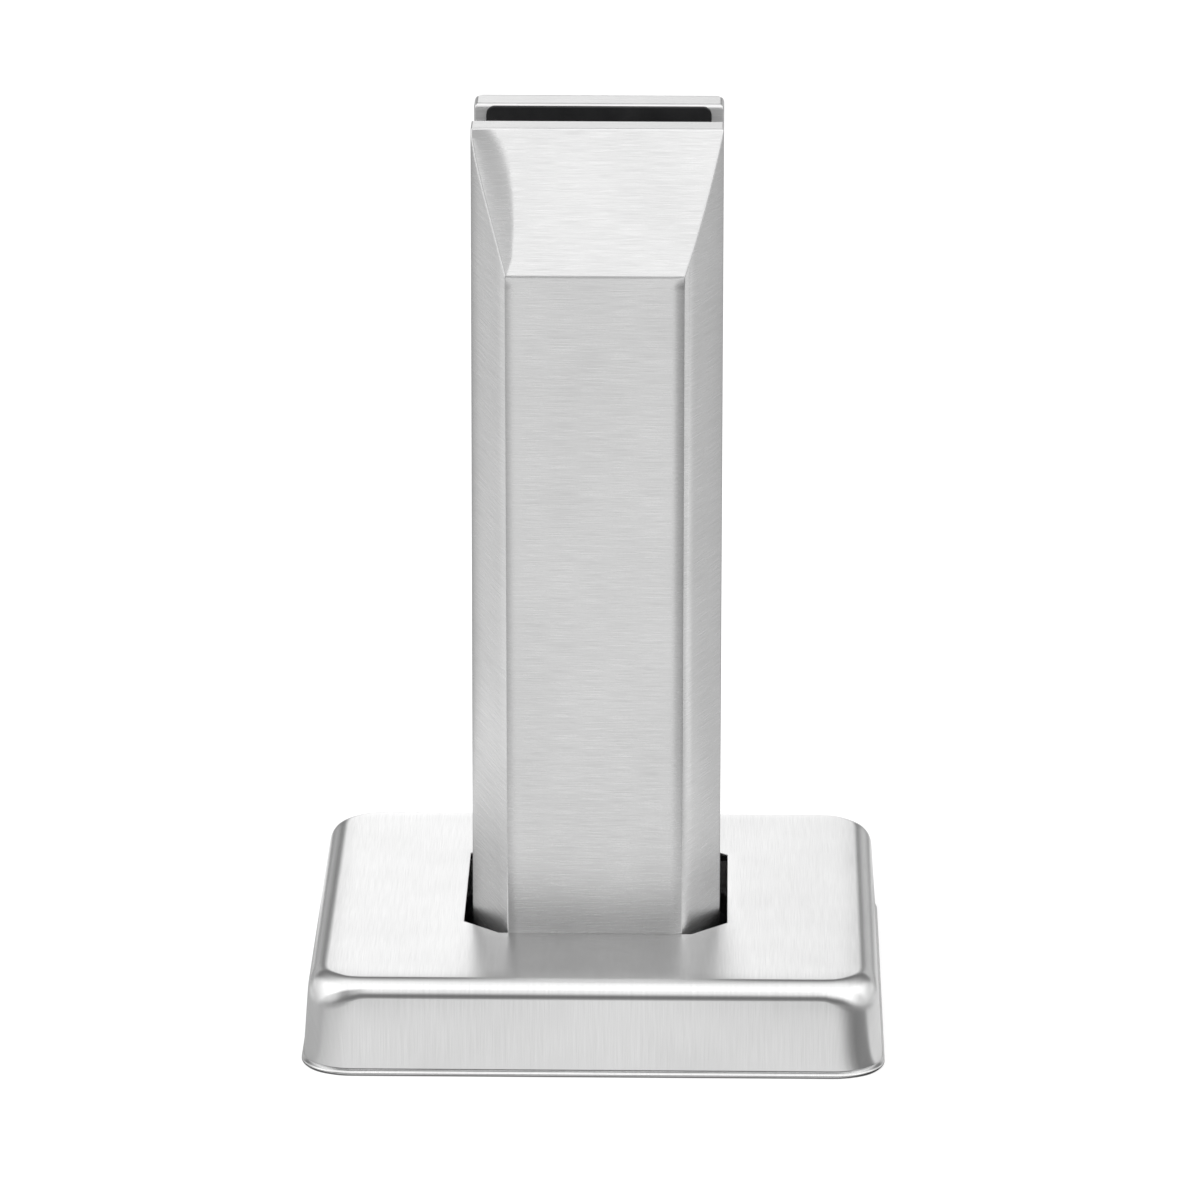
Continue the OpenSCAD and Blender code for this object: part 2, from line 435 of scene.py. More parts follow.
def cut_facets(bm):
    """Divides the long corner facets into strips, so that they can bulge."""
    for side in (-1, 1):
        for end in (-1, 1):
            facets = [f for f in bm.faces if f.normal.x * side > 0.8 and f.normal.y * end > 0.3]
            for share in FACET_CUTS:
                x = side * (HALF_W - FACET_W * (1 - share))
                facets = cut_faces(bm, facets, (x, 0, 0), Vector((1, 0, 0)))


def cut_slope(bm):
    """Divides the front slope along the edge of its worn patch."""
    slope = [f for f in bm.faces if f.normal.y < -0.5 and f.normal.z > 0.3]
    levels = [BEVEL_Z + (COLUMN_H - BEVEL_Z) * share for share, _ in PATCH_EDGE]
    for z in levels[1:-1]:
        slope = cut_faces(bm, slope, (0, 0, z), Vector((0, 0, 1)))
    corners = [(z, x) for z, (_, x) in zip(levels, PATCH_EDGE)]
    for (z_low, x_low), (z_high, x_high) in zip(corners, corners[1:]):
        middle = (z_low + z_high) / 2 * MM
        strip = [f for f in slope if abs(f.calc_center_bounds().z - middle) < NEAR * MM]
        across = Vector((z_high - z_low, 0, x_low - x_high)).normalized()
        for back in PATCH_STRIPS:
            strip = cut_faces(bm, strip, (x_low - back, 0, z_low), across)


def edge_shift(z):
    """How far the front's left edge lies outside its nominal place at a height."""
    share = min(1.0, max(0.0, (z - SHIFT_Z[0]) / (SHIFT_Z[1] - SHIFT_Z[0])))
    return EDGE_SHIFT[0] + (EDGE_SHIFT[1] - EDGE_SHIFT[0]) * share


def front_roll(x, y, z):
    """How far the front face has rolled back beside its upright edges."""
    side = -1 if x < 0 else 1
    width, angle = FRONT_ROLL[side]
    inside = abs(x) - (HALF_W - FACET_W - width)
    if abs(y + HALF_D) > ON_FACE or inside < -ON_CUT or z > BEVEL_Z + ON_CUT:
        return Vector((0, 0, 0))
    fade = min(1.0, max(0.0, (BEVEL_Z - z) / ROLL_FADE))
    aside = -edge_shift(z) if side < 0 else 0.0
    return Vector((aside, math.tan(math.radians(angle)) / (2 * width) * inside ** 2 * fade, 0))


def facet_bulge(x, y, z):
    """How far the long corner facets stand out; the left ones roll off towards the side faces."""
    share = (abs(x) - HALF_W + FACET_W) / FACET_W
    run = FRONT_RUN if y < 0 else REAR_RUN
    on_facet = abs(abs(y) - HALF_D + share * run) < ON_FACE
    if not on_facet or not 0 < share < 1:
        return Vector((0, 0, 0))
    out = Vector((math.copysign(run, x), math.copysign(FACET_W, y), 0)).normalized()
    if x < 0:
        aside = edge_shift(z) * (1 - share) if y < 0 else 0.0
        return out * FACET_ROLL * (share - share ** ROLL_OFF) - Vector((aside, 0, 0))
    return out * FACET_BULGE * 4 * share * (1 - share)


def slope_normal(y, z):
    """Outward direction of the front or rear slope under a point, or None away from them."""
    run = FRONT_RUN if y < 0 else REAR_RUN
    rise = (z - BEVEL_Z) / (COLUMN_H - BEVEL_Z)
    if abs(HALF_D - abs(y) - rise * run) > ON_FACE or not -ON_SHARE <= rise <= 1 + ON_SHARE:
        return None
    return Vector((0, math.copysign(COLUMN_H - BEVEL_Z, y), run)).normalized()


def patch_sink(x, y, z):
    """How the worn patch of the front slope falls away from its right edge."""
    rise = (z - BEVEL_Z) / (COLUMN_H - BEVEL_Z)
    outward = slope_normal(y, z)
    if y > 0 or not outward:
        return Vector((0, 0, 0))
    edge = PATCH_EDGE[-1][1]
    for (low, x_low), (high, x_high) in zip(PATCH_EDGE, PATCH_EDGE[1:]):
        if low <= rise <= high:
            edge = x_low + (x_high - x_low) * (rise - low) / (high - low)
    soft = PATCH_SOFT[0] + (PATCH_SOFT[1] - PATCH_SOFT[0]) * rise ** 2
    inside = max(0.0, edge - x)
    depth = inside ** 2 / (2 * soft) if inside < soft else inside - soft / 2
    return -outward * depth * math.tan(math.radians(PATCH_TILT))


def polished(bm):
    """Moves the hand-polished faces by up to a millimetre, as the real ones roll, bulge and sink."""
    bm.normal_update()
    cut_front(bm)
    cut_facets(bm)
    cut_slope(bm)
    for vert in bm.verts:
        x, y, z = vert.co / MM
        y -= COLUMN_Y
        if z > COVER_H:
            move = front_roll(x, y, z) + facet_bulge(x, y, z)
            outward = slope_normal(y, z)
            if outward:
                move -= outward * move.dot(outward)
            vert.co += (move + patch_sink(x, y, z)) * MM


def edged_copy(cad_node, name, edge_round, shape=None):
    """A copy of a CAD node with rounded edges, smooth shading and the grain laid out."""
    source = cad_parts[cad_node]
    bm = bmesh.new()
    bm.from_mesh(source.data)
    bmesh.ops.remove_doubles(bm, verts=bm.verts, dist=SAME_POINT)
    bmesh.ops.dissolve_limit(bm, angle_limit=math.radians(SAME_FACE), verts=bm.verts, edges=bm.edges)
    if shape:
        shape(bm)
    weigh_edges(bm, edge_round)
    mesh = bpy.data.meshes.new(name)
    bm.to_mesh(mesh)
    bm.free()
    for _ in range(ROUNDING + 1):
        mesh.materials.append(None)
    made = bpy.data.objects.new(name, mesh)
    bpy.context.scene.collection.objects.link(made)
    bevel = made.modifiers.new("edges", "BEVEL")
    bevel.material = ROUNDING
    bevel.limit_method = "WEIGHT"
    bevel.width = JAW_END_ROUND * MM
    bevel.segments = EDGE_SEGMENTS
    bevel.use_clamp_overlap = False
    bpy.context.view_layer.update()
    evaluated = made.evaluated_get(bpy.context.evaluated_depsgraph_get())
    final = bpy.data.meshes.new_from_object(evaluated)
    made.modifiers.clear()
    made.data = final
    final.name = name
    smooth_by_area(final)
    lay_grain(final)
    return made


def smooth_by_area(mesh):
    """Smooth shading in which large flat faces keep their own normals, and roundings blend between them."""
    mesh.shade_smooth()
    weights = [Vector() for _ in mesh.vertices]
    for face in mesh.polygons:
        share = ROUNDING_SHARE if face.material_index == ROUNDING else 1.0
        face.material_index = 0
        for index in face.vertices:
            weights[index] += face.normal * face.area * share
    mesh.normals_split_custom_set_from_vertices([w.normalized() for w in weights])


def dress(piece, body, slot, finish, *replaced):
    """Gives a piece its finish and body, and hides the CAD nodes it stands for."""
    piece.data.materials.clear()
    piece.data.materials.append(finish)
    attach(piece, body)
    if replaced:
        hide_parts(*replaced)


# ---------------------------------------------------------------- lofted pieces


def loft(name, rings, uv_rings=None, closed=False, capped=False):
    """A mesh from rings with the same number of points. closed joins the last ring to the first."""
    count = len(rings[0])
    verts = [Vector(p) * MM for ring in rings for p in ring]
    pairs = list(zip(range(len(rings)), range(1, len(rings))))
    if closed:
        pairs.append((len(rings) - 1, 0))
    faces = []
    for a, b in pairs:
        for i in range(count):
            j = (i + 1) % count
            faces.append((a * count + i, a * count + j, b * count + j, b * count + i))
    if capped:
        faces.append(tuple(reversed(range(count))))
        faces.append(tuple(range((len(rings) - 1) * count, len(rings) * count)))
    mesh = bpy.data.meshes.new(name)
    mesh.from_pydata(verts, [], faces)
    mesh.update()
    mesh.shade_smooth()
    if uv_rings:
        layer = mesh.uv_layers.new(name=GRAIN_UV)
        flat = [uv for ring in uv_rings for uv in ring]
        for loop in mesh.loops:
            layer.data[loop.index].uv = flat[loop.vertex_index]
    made = bpy.data.objects.new(name, mesh)
    bpy.context.scene.collection.objects.link(made)
    return made


# ---------------------------------------------------------------- dress cover

# Larger bend at the corners: its height, half the length of a corner's arc, how far from the arc's middle
# the bend has its plain size again, and the share of its growth by which it reaches further into the top
CORNER_BEND_R = 7.2
CORNER_ARC = 5.5
CORNER_SPREAD = 8.2
CORNER_INWARD = 0.35
# The top starts to fall before the bend: over this width and up to this angle
COVER_EASE = 3.8
EASE_ANGLE = 4.0
COVER_SLOPE = 4.0
SHEET_T = 0.8
# Rolled lip at the foot of the wall, and the groove above it
LIP_R = 0.45
LIP_OUT = 0.3
LIP_ANGLES = (62, 45, 30, 15, 0, -15, -30, -50, -70, -90)
GROOVE_Z = 1.12
GROOVE_START = 0.5
GROOVE_DEPTH = 0.3
# The column's opening
HOLE_HALF_W = 26.5
HOLE_HALF_D = 29.2
HOLE_CUT = 7.2
HOLE_EDGE = 0.12
# Unevenness of the top: its height, the lengths of its waves, their shift and the share of the slanting
# ones, and how late it fades out towards the rim
COVER_WAVE = 0.05
WAVE_X = 11.0
WAVE_Y = 9.0
WAVE_SLANTING = 17.0
WAVE_SHIFT = 0.6
SLANTING_SHARE = 0.6
WAVE_FADE = 6
# Divisions of the outline and of the section, and how closely the top's rings lie at its rim
SIDE_POINTS = 60
CORNER_POINTS = 20
TOP_RINGS = 16
TOP_SPACING = 1.8
BEND_STEPS = 18
WALL_STEPS = 8
GROOVE_STEPS = 6
INNER_WALL_STEPS = 4
INNER_BEND_STEPS = 8


def square_ring():
    """For each point round the cover: side or corner, which one, and how far along it.

    Then come the signs of the centre that it is measured from, and its direction from there.
    """
    points = []
    for k in range(4):
        start = math.radians(-90 + 90 * k)
        turn = Matrix.Rotation(math.radians(90 * k), 2)
        for i in range(SIDE_POINTS):
            t = i / SIDE_POINTS
            direction = Vector((math.cos(start), math.sin(start)))
            points.append(("side", k, t, turn @ Vector((2 * t - 1, -1)), direction))
        for i in range(CORNER_POINTS):
            t = i / CORNER_POINTS
            angle = start + t * math.pi / 2
            direction = Vector((math.cos(angle), math.sin(angle)))
            points.append(("corner", k, t, turn @ Vector((1, -1)), direction))
    return points


RING = square_ring()


def outline_point(place, reach):
    """Plan point at a distance outside the square through the corner centres."""
    _, _, _, centre, direction = place
    return centre * COVER_CORNER + direction * reach


def hole_point(place, shrink=0.0):
    """Plan point on the edge of the column's opening that faces a point of the outline."""
    kind, k, t, _, _ = place
    w = HOLE_HALF_W - shrink
    d = HOLE_HALF_D - shrink
    cut = HOLE_CUT - shrink * (2 - math.sqrt(2))
    corners = [(cut - w, -d), (w - cut, -d), (w, cut - d), (w, d - cut),
               (w - cut, d), (cut - w, d), (-w, d - cut), (-w, cut - d)]
    first = 2 * k + (0 if kind == "side" else 1)
    a = Vector(corners[first])
    b = Vector(corners[(first + 1) % 8])
    return a.lerp(b, t) + Vector((0, COLUMN_Y))


def sheet_wave(point):
    """Slight unevenness of the pressed top, fading at its rim."""
    x, y = point
    rim = COVER_CORNER + COVER_FLAT_R
    fade = max(0.0, 1 - (abs(x) / rim) ** WAVE_FADE) * max(0.0, 1 - (abs(y) / rim) ** WAVE_FADE)
    crossing = math.sin(x / WAVE_X + WAVE_SHIFT) * math.cos(y / WAVE_Y)
    wave = crossing + SLANTING_SHARE * math.sin((x - y) / WAVE_SLANTING)
    return COVER_WAVE * wave * fade


def bend_height(place):
    """Height of the bend at a place round the cover; the press leaves it larger at the corners."""
    kind, _, t, _, _ = place
    away = CORNER_ARC * abs(2 * t - 1)
    if kind == "side":
        away = CORNER_ARC + COVER_CORNER * (1 - abs(2 * t - 1))
    share = (1 + math.cos(math.pi * min(1.0, away / CORNER_SPREAD))) / 2
    return COVER_BEND_R + (CORNER_BEND_R - COVER_BEND_R) * share


def top_height(point, bend):
    """Height of the top's upper face at a plan point, where the bend at its rim has this height."""
    x = abs(point.x) - COVER_CORNER
    y = abs(point.y) - COVER_CORNER
    distance = math.hypot(max(x, 0), max(y, 0)) if max(x, y) > 0 else max(x, y)
    return COVER_H + sheet_wave(point) - ease_drop(rim_reach(bend) - distance)


def wall_reach(z):
    """Distance of the wall's outer face from the corner centres at a height."""
    slope = math.radians(COVER_SLOPE)
    bend_end = COVER_H - COVER_BEND_R * (1 - math.sin(slope))
    return COVER_FLAT_R + COVER_BEND_R * math.cos(slope) + (bend_end - z) * math.tan(slope)


def bend_width(bend):
    """How far a bend of this height reaches in plan: less than its height at the corners."""
    return COVER_BEND_R + (bend - COVER_BEND_R) * CORNER_INWARD


def flat_reach(bend):
    """Distance of the bend's centre line from the corner centres; the wall stays where it is."""
    slope = math.radians(COVER_SLOPE)
    lower_end = (bend - COVER_BEND_R) * (1 - math.sin(slope)) * math.tan(slope)
    return COVER_FLAT_R + lower_end - (bend_width(bend) - COVER_BEND_R) * math.cos(slope)


def rim_reach(bend):
    """Distance of the flat's rim from the corner centres, where the bend starts."""
    return flat_reach(bend) + bend_width(bend) * math.sin(math.radians(EASE_ANGLE))


def ease_drop(inside):
    """How far the top has sunk at a distance inside its rim, before the bend."""
    share = max(0.0, 1 - inside / COVER_EASE)
    return COVER_EASE * math.tan(math.radians(EASE_ANGLE)) / 2 * share ** 2


def outer_section(bend):
    """(reach, height) down the outer face, from the flat's rim to under the lip."""
    points = []
    full = COVER_H - ease_drop(0.0) + bend * (1 - math.cos(math.radians(EASE_ANGLE)))
    for i in range(1, BEND_STEPS + 1):
        a = math.radians(EASE_ANGLE + (90 - COVER_SLOPE - EASE_ANGLE) * i / BEND_STEPS)
        points.append((flat_reach(bend) + bend_width(bend) * math.sin(a), full - bend * (1 - math.cos(a))))
    top = points[-1][1]
    bottom = GROOVE_Z + GROOVE_START
    for i in range(1, WALL_STEPS + 1):
        z = top + (bottom - top) * i / WALL_STEPS
        points.append((wall_reach(z), z))
    for i in range(1, GROOVE_STEPS + 1):
        z = bottom + (GROOVE_Z - bottom) * i / GROOVE_STEPS
        points.append((wall_reach(z) - GROOVE_DEPTH * (1 - math.cos(math.pi * i / GROOVE_STEPS)) / 2, z))
    lip_centre = wall_reach(0) + LIP_OUT - LIP_R
    for angle in LIP_ANGLES:
        a = math.radians(angle)
        points.append((lip_centre + LIP_R * math.cos(a), LIP_R * (1 + math.sin(a))))
    return points


def inner_section(bend):
    """(reach, height) up the inner face, from the bottom edge to the flat's rim."""
    slope = math.radians(COVER_SLOPE)
    skin = SHEET_T / math.cos(slope)
    down = bend - SHEET_T
    across = bend_width(bend) - SHEET_T
    bend_end = COVER_H - bend + bend * math.sin(slope)
    points = [(wall_reach(0) - skin, 0.0)]
    for i in range(1, INNER_WALL_STEPS + 1):
        z = bend_end * i / INNER_WALL_STEPS
        points.append((wall_reach(z) - skin, z))
    for i in range(INNER_BEND_STEPS - 1, -1, -1):
        a = math.radians(90 - COVER_SLOPE) * i / INNER_BEND_STEPS
        points.append((flat_reach(bend) + across * math.sin(a), COVER_H - bend + down * math.cos(a)))
    return points


def cover_rings():
    """Rings of the closed sheet with their developed grain coordinates.

    They go from the opening's lower edge over the top, down the outside and back up the inside.
    """
    rings = []
    uvs = []

    def add(points, heights, developed):
        rings.append([(p.x, p.y, z) for p, z in zip(points, heights)])
        uvs.append([(d.x, d.y) for d in developed])

    edge = [hole_point(p) for p in RING]
    inset = [hole_point(p, -HOLE_EDGE) for p in RING]
    add(edge, [COVER_H - SHEET_T] * len(RING), [p + Vector((0, 1)) for p in edge])
    add(edge, [COVER_H - HOLE_EDGE] * len(RING), edge)
    bends = [bend_height(p) for p in RING]
    rim = [outline_point(p, rim_reach(bend)) for p, bend in zip(RING, bends)]
    for k in range(TOP_RINGS + 1):
        share = 1 - (1 - k / TOP_RINGS) ** TOP_SPACING
        points = [a.lerp(b, share) for a, b in zip(inset, rim)]
        add(points, [top_height(p, bend) for p, bend in zip(points, bends)], points)
    runs = [rim_reach(bend) for bend in bends]
    last = [(rim_reach(bend), COVER_H - ease_drop(0.0)) for bend in bends]
    for ring in zip(*[outer_section(bend) + inner_section(bend) for bend in bends]):
        runs = [run + math.hypot(b[0] - a[0], b[1] - a[1]) for run, a, b in zip(runs, last, ring)]
        last = ring
        points = [outline_point(p, reach) for p, (reach, _) in zip(RING, ring)]
        add(points, [z for _, z in ring], [outline_point(p, run) for p, run in zip(RING, runs)])
    return rings, uvs


def make_cover():
    rings, uvs = cover_rings()
    cover = loft("dress_cover_sheet", rings, uvs, closed=True)
    smooth_by_area(cover.data)
    return cover


# ---------------------------------------------------------------- screws

SCREW_Z = {"upper": 144.0, "lower": 111.0}
SCREW_FRONT_Y = 13.55
SCREW_R = 5.0
SCREW_L = 16.0
SCREW_EDGE = 0.8
# Thread, with the share of its height that its flat crest and root each cut off
THREAD_PITCH = 1.5
THREAD_DEPTH = 0.92
THREAD_FLAT = 0.12
# Hexagon socket, with the chamfer at its mouth and the depth of the drill's cone under it
SOCKET_AF = 5.0
SOCKET_DEPTH = 5.5
SOCKET_LEAD = 0.35
DRILL_TIP = 1.2
# Radius of the ring that closes an end
CENTRE_R = 0.01
TURN_POINTS = 48
RINGS_A_TURN = 12
SCREW_SHARP = 40


def thread_radius(angle, z):
    """Radius of the thread's surface at an angle, in radians, and a height along its axis."""
    turn = (z / THREAD_PITCH - angle / (2 * math.pi)) % 1.0
    height = 1 - abs(2 * turn - 1)
    return SCREW_R - THREAD_DEPTH * min(1.0, max(0.0, (height - THREAD_FLAT) / (1 - 2 * THREAD_FLAT)))


def circle(radius, z, angles):
    return [(radius * math.cos(a), radius * math.sin(a), z) for a in angles]


def screw_rings():
    """Rings along a grub screw, from the middle of its plain end to the bottom of its socket."""
    angles = [2 * math.pi * i / TURN_POINTS for i in range(TURN_POINTS)]
    steps = round(SCREW_L / THREAD_PITCH * RINGS_A_TURN)
    rings = [circle(CENTRE_R, 0.0, angles)]
    for j in range(steps + 1):
        z = SCREW_L * j / steps
        cone = SCREW_R - SCREW_EDGE + min(z, SCREW_L - z)
        radii = [min(cone, thread_radius(a, z)) for a in angles]
        rings.append([(r * math.cos(a), r * math.sin(a), z) for r, a in zip(radii, angles)])
    socket_end = SCREW_L - SOCKET_DEPTH
    for grow, z in ((SOCKET_LEAD, SCREW_L), (0.0, SCREW_L - SOCKET_LEAD), (0.0, socket_end)):
        rings.append([hexagon(a, SOCKET_AF / 2 + grow) + (z,) for a in angles])
    rings.append(circle(SOCKET_AF / 2, socket_end, angles))
    rings.append(circle(CENTRE_R, socket_end - DRILL_TIP, angles))
    return rings


def hexagon(angle, half_flat):
    """Point of a hexagon's outline in a direction, given in radians."""
    sector = (angle + math.pi / 6) % (math.pi / 3) - math.pi / 6
    r = half_flat / math.cos(sector)
    return r * math.cos(angle), r * math.sin(angle)


def make_screw(which):
    """The upper or lower grub screw in its place, with its socket to the rear."""
    rings = []
    for ring in screw_rings():
        rings.append([(-x, SCREW_FRONT_Y + z, SCREW_Z[which] + y) for x, y, z in ring])
    screw = loft(which + "_grub_screw_threaded", rings, capped=True)
    screw.data.set_sharp_from_angle(angle=math.radians(SCREW_SHARP))
    return screw


# ---------------------------------------------------------------- studio

# Radiance of the room between the panels
STUDIO_BASE = 0.2
# Soft panels round the object. Each has the limits of its direction's x and of its angle up from the front
# horizon and over to the back, both as (dark, full, full, dark), and its strength above the base.
STUDIO_PANELS = (
    ((-0.145, -0.085, -0.02, 0.03), (146, 155, 186, 196), 1.18),
    ((-0.02, 0.03, 0.07, 0.12), (146, 155, 186, 196), 0.8),
    ((-1.1, -0.8, -0.32, -0.22), (150, 162, 190, 200), 0.3),
    ((0.17, 0.27, 0.8, 1.1), (150, 162, 190, 200), 0.4),
    ((-0.14, -0.08, 0.7, 0.95), (18, 43, 80, 92), 1.15),
    ((-1.1, -0.75, -0.15, -0.11), (18, 40, 47, 58), 0.14),
    ((-1.1, -0.75, -0.12, -0.08), (47, 58, 80, 92), 1.05),
    ((-1.1, -0.7, 0.7, 1.1), (80, 92, 94, 146), 1.0),
    ((-1.1, -0.8, 0.8, 1.1), (-30, -20, 1, 12), 0.2),
    ((-1.3, -1.2, -0.8, -0.6), (6, 20, 160, 174), 0.62),
    ((0.6, 0.8, 1.2, 1.3), (6, 20, 160, 174), 0.56),
)
# Floor brightness seen in reflections, as (degrees round from the front, rightwards positive, strength).
# The near values hold beside the cover and the far ones beyond FAR_START.
FLOOR_NEAR = (
    (-180, 0.88), (-127, 0.84), (-112, 0.6), (-98, 0.44), (-81, 0.44), (-62, 0.6), (-45, 0.68),
    (-30, 0.72), (0, 0.75), (14, 0.69), (25, 0.52), (38, 0.3), (50, 0.19), (76, 0.19), (81, 0.22),
    (87, 0.42), (90, 0.7), (97, 0.7), (112, 0.52), (130, 0.55), (180, 0.88),
)
FLOOR_FAR = (
    (-180, 0.85), (-173, 0.66), (-163, 0.36), (-148, 0.24), (-134, 0.32), (-126, 0.58), (-119, 0.69),
    (-112, 0.86), (-100, 0.76), (-80, 0.4), (-28, 0.38), (-9, 0.74), (0, 0.77), (9, 0.74), (26, 0.38),
    (42, 0.22), (82, 0.2), (98, 0.7), (107, 0.82), (113, 0.6), (119, 0.5), (124, 0.56), (130, 0.42),
    (138, 0.26), (152, 0.3), (166, 0.55), (180, 0.85),
)
# Distances on the floor, from a square of half width FOOT_STRAIGHT inside the cover's foot: where the near
# values end and the far ones start, the foot's own edge, and the width of the contact shade beyond that edge
FOOT_STRAIGHT = 50.0
NEAR_END = 60.0
FAR_START = 115.0
FOOT_ROUND = 7.0
FOOT_SHADE = 4.0
# Darkest contact shade, and width of the band under the foot where painted shade turns the floor black
SHADE_DARK = 0.12
UNDER_FOOT = 0.5
# Half width of the square that the far values' directions are measured from
COLUMN_CORE = 1.0
# Colour of the floor, and its brightness to the camera and in reflections
FLOOR_ALBEDO = 0.4
FLOOR_GLOW = 0.66
# Half the floor's side, in metres, and its depth under the clamp
FLOOR_HALF = 5.0
FLOOR_DROP = 0.02
# Lamp overhead: its power, and its size and place in metres
KEY_POWER = 9.0
KEY_SIZE = (1.1, 0.8)
KEY_PLACE = (-0.35, -0.55, 1.3)


def window(tree, value, limits):
    """Rises softly from 0 to 1 between the first two limits and falls back between the last two."""
    rise = spread(tree, value, limits[0], limits[1], 0.0, 1.0, smooth=True)
    fall = spread(tree, value, limits[2], limits[3], 1.0, 0.0, smooth=True)
    return maths(tree, "MULTIPLY", rise, fall)


def ramp(tree, factor, stops, low, high):
    """A smooth ramp through (place, value) stops, with places between low and high."""
    made = node(tree, "ShaderNodeValToRGB", {"Fac": factor})
    elements = made.color_ramp.elements
    made.color_ramp.interpolation = "EASE"
    while len(elements) < len(stops):
        elements.new(0.5)
    for element, (place, value) in zip(elements, stops):
        element.position = (place - low) / (high - low)
        element.color = grey(value)
    return made.outputs["Color"]


def make_world():
    """The studio's panels, and plain white where the camera looks past the object."""
    world = bpy.data.worlds.new("studio")
    bpy.context.scene.world = world
    world.use_nodes = True
    tree = world.node_tree
    tree.nodes.clear()
    direction = node(tree, "ShaderNodeTexCoord").outputs["Generated"]
    parts = node(tree, "ShaderNodeSeparateXYZ", {"Vector": direction})
    forward = maths(tree, "MULTIPLY", parts.outputs["Y"], -1.0)
    around = maths(tree, "ARCTAN2", parts.outputs["Z"], forward)
    degrees = maths(tree, "MULTIPLY", around, 180 / math.pi)
    total = STUDIO_BASE
    for sides, arc, strength in STUDIO_PANELS:
        across = window(tree, parts.outputs["X"], sides)
        along = window(tree, degrees, arc)
        panel = maths(tree, "MULTIPLY", maths(tree, "MULTIPLY", across, along), strength)
        total = maths(tree, "ADD", panel, total)
    seen = node(tree, "ShaderNodeLightPath").outputs["Is Camera Ray"]
    shown = node(tree, "ShaderNodeMix", {"Factor": seen, "A": total, "B": 1.0}, data_type="FLOAT")
    light = {"Color": grey(1.0), "Strength": shown.outputs["Result"]}
    background = node(tree, "ShaderNodeBackground", light)
    output = node(tree, "ShaderNodeOutputWorld")
    tree.links.new(background.outputs[0], output.inputs["Surface"])


def beyond(tree, coordinate, half):
    """How far a coordinate lies outside -half..half, with its sign."""
    held = node(tree, "ShaderNodeClamp", {"Value": coordinate, "Min": -half * MM, "Max": half * MM})
    return maths(tree, "SUBTRACT", coordinate, held.outputs[0])


def round_square(tree, parts, half, stops):
    """The floor's sectors round a square of this half width, and the distance from the square."""
    x = beyond(tree, parts.outputs["X"], half)
    y = beyond(tree, parts.outputs["Y"], half)
    around = maths(tree, "ARCTAN2", x, maths(tree, "MULTIPLY", y, -1.0))
    sectors = ramp(tree, spread(tree, around, -math.pi, math.pi, 0.0, 1.0), stops, -180, 180)
    squares = maths(tree, "ADD", maths(tree, "MULTIPLY", x, x), maths(tree, "MULTIPLY", y, y))
    return sectors, maths(tree, "SQRT", squares)


def floor_finish():
    """Pale floor that takes the shadow, looks white to the camera and shows its sectors in reflections."""
    made, tree = new_material("pale_floor")
    place = node(tree, "ShaderNodeTexCoord").outputs["Object"]
    parts = node(tree, "ShaderNodeSeparateXYZ", {"Vector": place})
    near, reach = round_square(tree, parts, FOOT_STRAIGHT, FLOOR_NEAR)
    far, _ = round_square(tree, parts, COLUMN_CORE, FLOOR_FAR)
    away = spread(tree, reach, NEAR_END * MM, FAR_START * MM, 0.0, 1.0, smooth=True)
    sectors = node(tree, "ShaderNodeMix", {"Factor": away, "A": near, "B": far}, data_type="FLOAT")
    # Painted shade: under the cover's foot the floor's glow and colour go to black, as the cover keeps light
    # off it there
    beside = spread(tree, reach, (FOOT_ROUND - UNDER_FOOT) * MM, FOOT_ROUND * MM, 0.0, 1.0)
    shade_end = (FOOT_ROUND + FOOT_SHADE) * MM
    shaded = spread(tree, reach, FOOT_ROUND * MM, shade_end, SHADE_DARK, 1.0, smooth=True)
    path = node(tree, "ShaderNodeLightPath")
    mirrored = maths(tree, "ADD", path.outputs["Is Glossy Ray"], path.outputs["Is Transmission Ray"])
    reflected = maths(tree, "MULTIPLY", sectors.outputs["Result"], shaded)
    shade = node(tree, "ShaderNodeMix", {"Factor": mirrored, "A": 1.0, "B": reflected}, data_type="FLOAT")
    level = maths(tree, "MULTIPLY", shade.outputs["Result"], beside)
    seen = maths(tree, "ADD", path.outputs["Is Camera Ray"], mirrored)
    glow = maths(tree, "MULTIPLY", maths(tree, "MULTIPLY", seen, level), FLOOR_GLOW)
    light = node(tree, "ShaderNodeEmission", {"Color": grey(1.0), "Strength": glow})
    albedo = maths(tree, "MULTIPLY", level, FLOOR_ALBEDO)
    matt = node(tree, "ShaderNodeBsdfDiffuse", {"Color": albedo})
    both = node(tree, "ShaderNodeAddShader", {0: matt.outputs[0], 1: light.outputs[0]})
    finish_material(tree, both.outputs[0])
    return made


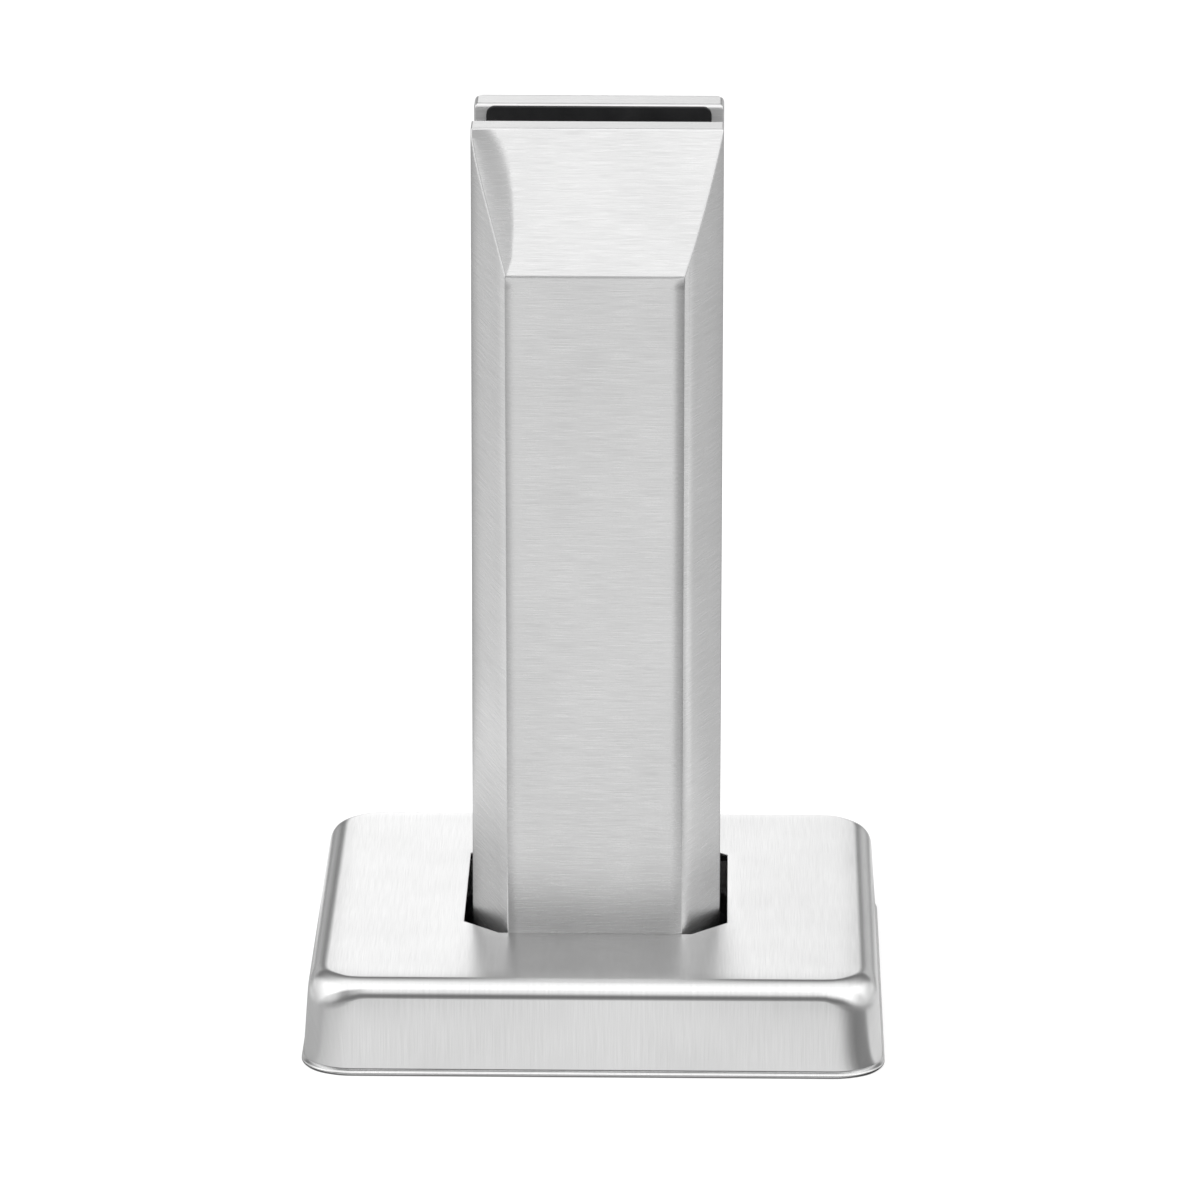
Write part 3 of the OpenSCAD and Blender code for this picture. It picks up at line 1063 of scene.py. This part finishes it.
def make_floor():
    half = FLOOR_HALF
    corners = [(-half, -half, 0), (half, -half, 0), (half, half, 0), (-half, half, 0)]
    mesh = bpy.data.meshes.new("floor")
    mesh.from_pydata(corners, [], [(0, 1, 2, 3)])
    floor = bpy.data.objects.new("floor", mesh)
    bpy.context.scene.collection.objects.link(floor)
    floor.location.z = -FLOOR_DROP * MM
    mesh.materials.append(floor_finish())


def make_key():
    """One large soft lamp overhead, towards the front left."""
    data = bpy.data.lights.new("key", "AREA")
    data.shape = "RECTANGLE"
    data.size, data.size_y = KEY_SIZE
    data.energy = KEY_POWER
    key = bpy.data.objects.new("key", data)
    key.location = KEY_PLACE
    key.rotation_euler = (-key.location).to_track_quat("-Z", "Y").to_euler()
    key.visible_glossy = False
    bpy.context.scene.collection.objects.link(key)


# ---------------------------------------------------------------- the scene


def make_finishes():
    """The material of each slot."""
    return {
        "brushed_casting": brushed_steel("brushed_casting", as_cast=in_slot, **CASTING_BRUSH),
        "brushed_sheet": brushed_steel("brushed_sheet", **SHEET_BRUSH),
        "plain_steel": machined_steel("plain_steel"),
        "rubber": black_rubber("rubber"),
    }


def make_clamp(finishes):
    """Every piece of the clamp, dressed."""
    def dressed(piece, body, slot, *replaced):
        dress(piece, body, slot, finishes[slot], *replaced)

    column = edged_copy("spigot_body", "spigot_casting", EDGE_ROUND, polished)
    dressed(column, "spigot", "brushed_casting", "spigot_body")
    dressed(make_cover(), "spigot", "brushed_sheet", "dress_cover")
    for cad_node, body in (("front_pad", "spigot"), ("setting_block", "spigot"), ("rear_pad", "clamp")):
        piece = edged_copy(cad_node, cad_node + "_moulded", RUBBER_ROUND)
        dressed(piece, body, "rubber", cad_node)
    plate = edged_copy("pressure_plate", "pressure_plate_edged", PLATE_ROUND)
    dressed(plate, "clamp", "plain_steel", "pressure_plate")
    for which in ("upper", "lower"):
        dressed(make_screw(which), which + "_screw", "plain_steel", which + "_grub_screw")


def set_view():
    bpy.context.scene.view_settings.view_transform = "Standard"


make_camera()
make_clamp(make_finishes())
make_world()
make_floor()
make_key()
set_view()
